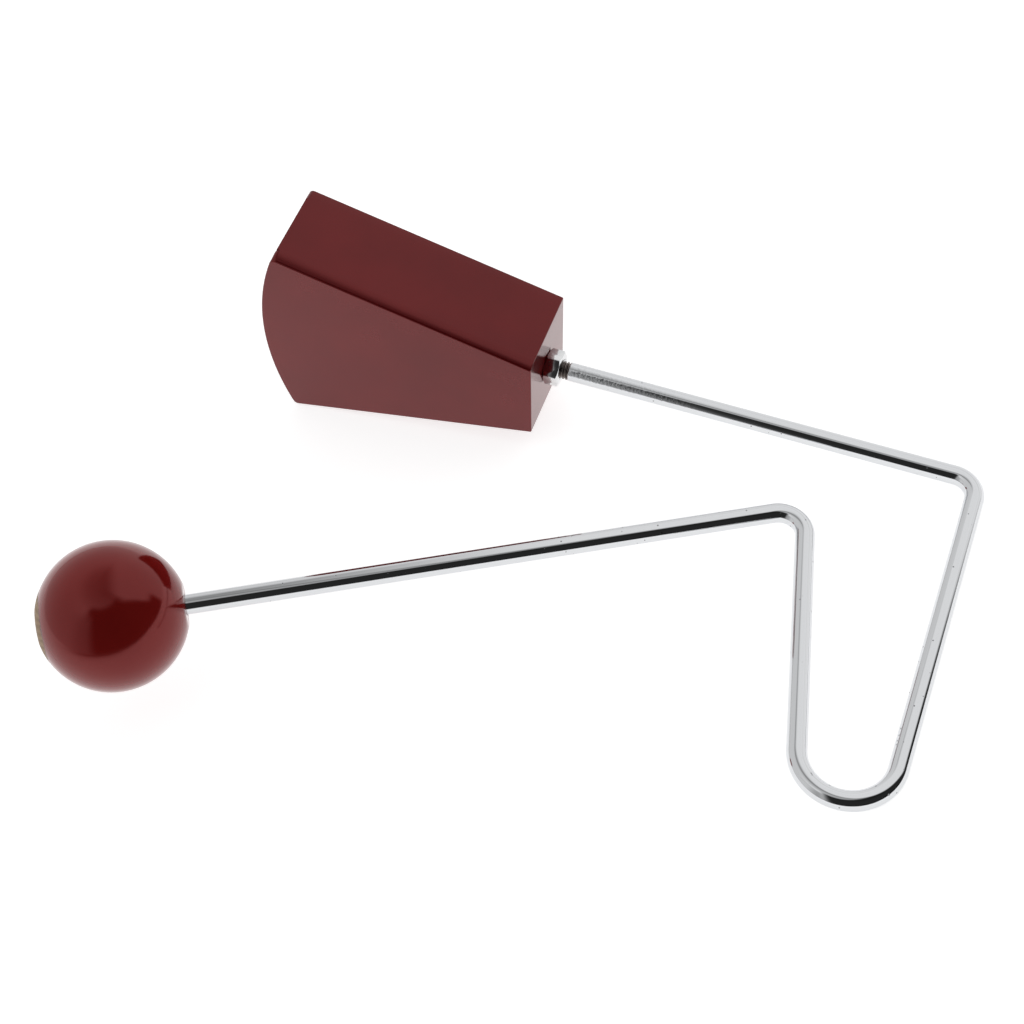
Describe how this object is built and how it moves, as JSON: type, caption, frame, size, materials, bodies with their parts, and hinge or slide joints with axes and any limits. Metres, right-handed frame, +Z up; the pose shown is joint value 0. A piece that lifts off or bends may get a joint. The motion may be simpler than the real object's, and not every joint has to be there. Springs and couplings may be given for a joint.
{
  "type": "vibraslap",
  "caption": "Hand-held vibraslap: flared wooden resonator box with loose rattle pins inside, joined by a bent chromed spring rod to a lacquered wooden ball.",
  "frame": {"origin": "middle of the underside of the whole object's box, on the surface that it lies on", "axes": "+X along the instrument from the ball and the mouth of the box to the handle corner, +Y from the handle towards the back of the box, +Z up"},
  "size_m": [0.2468, 0.1668, 0.07],
  "materials": {
    "box_lacquer": "dark red gloss lacquer on wood",
    "ball_lacquer": "dark red high-gloss lacquer on turned wood",
    "rod_chrome": "bright chrome plate on steel rod",
    "zinc_plate": "bright zinc plate",
    "jaw_steel": "rolled spring-steel sheet",
    "pin_steel": "bright cold-headed steel"
  },
  "bodies": {
    "instrument": {"front_panel": "box_lacquer", "back_panel": "box_lacquer", "top_panel": "box_lacquer", "bottom_panel": "box_lacquer", "end_block": "box_lacquer", "spring_rod": "rod_chrome", "outer_nut": "zinc_plate", "inner_nut": "zinc_plate", "inner_washer": "zinc_plate", "rattle_jaw": "jaw_steel"},
    "ball": {"ball": "ball_lacquer"},
    "pin_1": {"rattle_pin_1": "pin_steel"},
    "pin_2": {"rattle_pin_2": "pin_steel"},
    "pin_3": {"rattle_pin_3": "pin_steel"},
    "pin_4": {"rattle_pin_4": "pin_steel"},
    "pin_5": {"rattle_pin_5": "pin_steel"},
    "pin_6": {"rattle_pin_6": "pin_steel"},
    "pin_7": {"rattle_pin_7": "pin_steel"},
    "pin_8": {"rattle_pin_8": "pin_steel"},
    "pin_9": {"rattle_pin_9": "pin_steel"}
  },
  "joints": [
    {"name": "rod_flex", "type": "hinge", "parent": "instrument", "child": "ball", "pos_m": [0.10658, -0.03506, 0.00501], "axis": [0.1457, 0, 0.9893], "range_deg": [-4, 4], "stiffness_Nm_per_rad": 30, "deforming": ["spring_rod"]},
    {"name": "pin_1_slide", "type": "slide", "parent": "instrument", "child": "pin_1", "axis": [0, 1, 0], "range_m": [-0.001, 0.001]},
    {"name": "pin_2_slide", "type": "slide", "parent": "instrument", "child": "pin_2", "axis": [0, 1, 0], "range_m": [-0.001, 0.001]},
    {"name": "pin_3_slide", "type": "slide", "parent": "instrument", "child": "pin_3", "axis": [0, 1, 0], "range_m": [-0.001, 0.001]},
    {"name": "pin_4_slide", "type": "slide", "parent": "instrument", "child": "pin_4", "axis": [0, 1, 0], "range_m": [-0.001, 0.001]},
    {"name": "pin_5_slide", "type": "slide", "parent": "instrument", "child": "pin_5", "axis": [0, 1, 0], "range_m": [-0.001, 0.001]},
    {"name": "pin_6_slide", "type": "slide", "parent": "instrument", "child": "pin_6", "axis": [0, 1, 0], "range_m": [-0.001, 0.001]},
    {"name": "pin_7_slide", "type": "slide", "parent": "instrument", "child": "pin_7", "axis": [0, 1, 0], "range_m": [-0.001, 0.001]},
    {"name": "pin_8_slide", "type": "slide", "parent": "instrument", "child": "pin_8", "axis": [0, 1, 0], "range_m": [-0.001, 0.001]},
    {"name": "pin_9_slide", "type": "slide", "parent": "instrument", "child": "pin_9", "axis": [0, 1, 0], "range_m": [-0.001, 0.001]}
  ]
}
